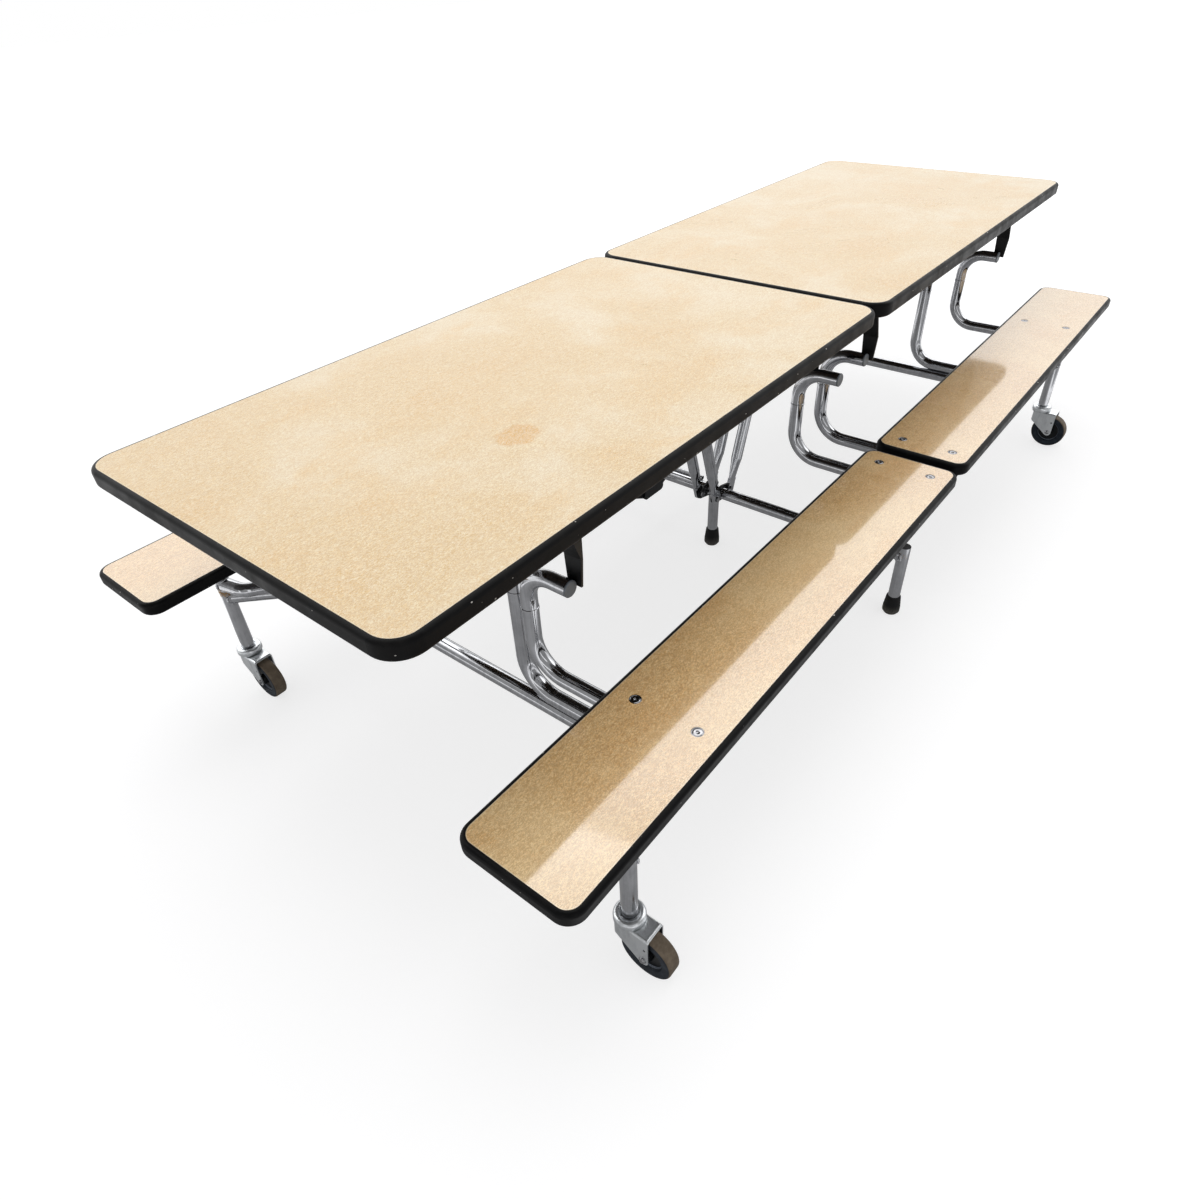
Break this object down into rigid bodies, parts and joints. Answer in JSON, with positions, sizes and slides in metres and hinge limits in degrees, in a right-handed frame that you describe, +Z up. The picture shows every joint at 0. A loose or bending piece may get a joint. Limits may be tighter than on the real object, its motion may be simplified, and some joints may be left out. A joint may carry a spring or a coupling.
{
  "type": "folding cafeteria table with benches",
  "caption": "Mobile cafeteria table in two halves that fold upright about a centre frame, with attached benches, bent-tube arms and leg frames on swivel casters.",
  "frame": {"origin": "on the floor under the middle of the table, at the underside of the centre foot", "axes": "+X across the table to the right, +Y along it to the far end, +Z up"},
  "size_m": [1.254, 2.622, 0.737],
  "materials": {
    "maple_laminate": "satin pale maple laminate on particleboard",
    "black_edging": "smooth black vinyl",
    "caster_tyre": "grey rubber, worn brown tread",
    "zinc_plate": "bright zinc plate",
    "bolt_steel": "plated",
    "foot_rubber": "matte black",
    "black_steel": "black enamel",
    "chrome_tube": "worn chrome plate"
  },
  "bodies": {
    "near_leg_frame": {"near_frame_crossbar": "chrome_tube", "near_frame_uprights": "chrome_tube", "near_caster_legs": "chrome_tube", "near_hinge_tube": "chrome_tube", "near_caster_stems": "zinc_plate"},
    "near_half": {"near_top_board": "maple_laminate", "near_top_edging": "black_edging", "near_left_bench_board": "maple_laminate", "near_left_bench_edging": "black_edging", "near_right_bench_board": "maple_laminate", "near_right_bench_edging": "black_edging", "near_left_inner_arm": "chrome_tube", "near_left_outer_arm": "chrome_tube", "near_right_inner_arm": "chrome_tube", "near_right_outer_arm": "chrome_tube", "near_bench_bolts": "bolt_steel", "near_straps": "black_steel", "near_struts": "chrome_tube", "near_strut_plate": "black_steel", "near_hinge_brackets": "black_steel"},
    "near_link": {"near_control_link": "black_steel"},
    "near_left_caster": {"near_left_caster_fork": "zinc_plate", "near_left_caster_axle": "bolt_steel"},
    "near_left_wheel_body": {"near_left_wheel": "caster_tyre"},
    "near_right_caster": {"near_right_caster_fork": "zinc_plate", "near_right_caster_axle": "bolt_steel"},
    "near_right_wheel_body": {"near_right_wheel": "caster_tyre"},
    "far_leg_frame": {"far_frame_crossbar": "chrome_tube", "far_frame_uprights": "chrome_tube", "far_caster_legs": "chrome_tube", "far_hinge_tube": "chrome_tube", "far_caster_stems": "zinc_plate"},
    "far_half": {"far_top_board": "maple_laminate", "far_top_edging": "black_edging", "far_left_bench_board": "maple_laminate", "far_left_bench_edging": "black_edging", "far_right_bench_board": "maple_laminate", "far_right_bench_edging": "black_edging", "far_left_inner_arm": "chrome_tube", "far_left_outer_arm": "chrome_tube", "far_right_inner_arm": "chrome_tube", "far_right_outer_arm": "chrome_tube", "far_bench_bolts": "bolt_steel", "far_straps": "black_steel", "far_struts": "chrome_tube", "far_strut_plate": "black_steel", "far_hinge_brackets": "black_steel"},
    "far_link": {"far_control_link": "black_steel"},
    "far_left_caster": {"far_left_caster_fork": "zinc_plate", "far_left_caster_axle": "bolt_steel"},
    "far_left_wheel_body": {"far_left_wheel": "caster_tyre"},
    "far_right_caster": {"far_right_caster_fork": "zinc_plate", "far_right_caster_axle": "bolt_steel"},
    "far_right_wheel_body": {"far_right_wheel": "caster_tyre"},
    "centre_frame": {"centre_crossbar": "chrome_tube", "centre_legs": "chrome_tube", "centre_feet": "foot_rubber", "centre_lugs": "chrome_tube", "centre_pivot_bolts": "bolt_steel", "lift_rod": "chrome_tube"}
  },
  "joints": [
    {"name": "near_half_fold", "type": "hinge", "parent": "near_leg_frame", "child": "near_half", "pos_m": [0, -1.115, 0.68], "axis": [1, 0, 0], "range_deg": [0, 90]},
    {"name": "centre_frame_pivot", "type": "hinge", "parent": "near_half", "child": "centre_frame", "pos_m": [0, -0.034, 0.172], "axis": [1, 0, 0], "range_deg": [-90, 0]},
    {"name": "far_half_fold", "type": "hinge", "parent": "centre_frame", "child": "far_half", "pos_m": [0, 0.034, 0.172], "axis": [1, 0, 0], "range_deg": [-90, 0]},
    {"name": "far_leg_frame_hinge", "type": "hinge", "parent": "far_half", "child": "far_leg_frame", "pos_m": [0, 1.115, 0.68], "axis": [1, 0, 0], "range_deg": [0, 90]},
    {"name": "near_link_pivot", "type": "hinge", "parent": "near_leg_frame", "child": "near_link", "pos_m": [-0.2114, -1.115, 0.61], "axis": [1, 0, 0], "range_deg": [0, 90]},
    {"name": "far_link_pivot", "type": "hinge", "parent": "centre_frame", "child": "far_link", "pos_m": [-0.2114, 0.034, 0.102], "axis": [1, 0, 0], "range_deg": [-90, 0]},
    {"name": "near_left_swivel", "type": "hinge", "parent": "near_leg_frame", "child": "near_left_caster", "pos_m": [-0.548, -1.115, 0.115], "axis": [0, 0, 1], "continuous": true},
    {"name": "near_left_wheel_spin", "type": "hinge", "parent": "near_left_caster", "child": "near_left_wheel_body", "pos_m": [-0.508, -1.115, 0.05], "axis": [0, 1, 0], "continuous": true},
    {"name": "near_right_swivel", "type": "hinge", "parent": "near_leg_frame", "child": "near_right_caster", "pos_m": [0.548, -1.115, 0.115], "axis": [0, 0, 1], "continuous": true},
    {"name": "near_right_wheel_spin", "type": "hinge", "parent": "near_right_caster", "child": "near_right_wheel_body", "pos_m": [0.588, -1.115, 0.05], "axis": [0, 1, 0], "continuous": true},
    {"name": "far_left_swivel", "type": "hinge", "parent": "far_leg_frame", "child": "far_left_caster", "pos_m": [-0.548, 1.115, 0.115], "axis": [0, 0, 1], "continuous": true},
    {"name": "far_left_wheel_spin", "type": "hinge", "parent": "far_left_caster", "child": "far_left_wheel_body", "pos_m": [-0.508, 1.115, 0.05], "axis": [0, 1, 0], "continuous": true},
    {"name": "far_right_swivel", "type": "hinge", "parent": "far_leg_frame", "child": "far_right_caster", "pos_m": [0.548, 1.115, 0.115], "axis": [0, 0, 1], "continuous": true},
    {"name": "far_right_wheel_spin", "type": "hinge", "parent": "far_right_caster", "child": "far_right_wheel_body", "pos_m": [0.588, 1.115, 0.05], "axis": [0, 1, 0], "continuous": true}
  ],
  "couplings": [
    {"joint": "centre_frame_pivot", "follows": "near_half_fold", "ratio": -1},
    {"joint": "far_half_fold", "follows": "near_half_fold", "ratio": -1},
    {"joint": "far_leg_frame_hinge", "follows": "near_half_fold", "ratio": 1},
    {"joint": "near_link_pivot", "follows": "near_half_fold", "ratio": 1},
    {"joint": "far_link_pivot", "follows": "near_half_fold", "ratio": -1}
  ]
}
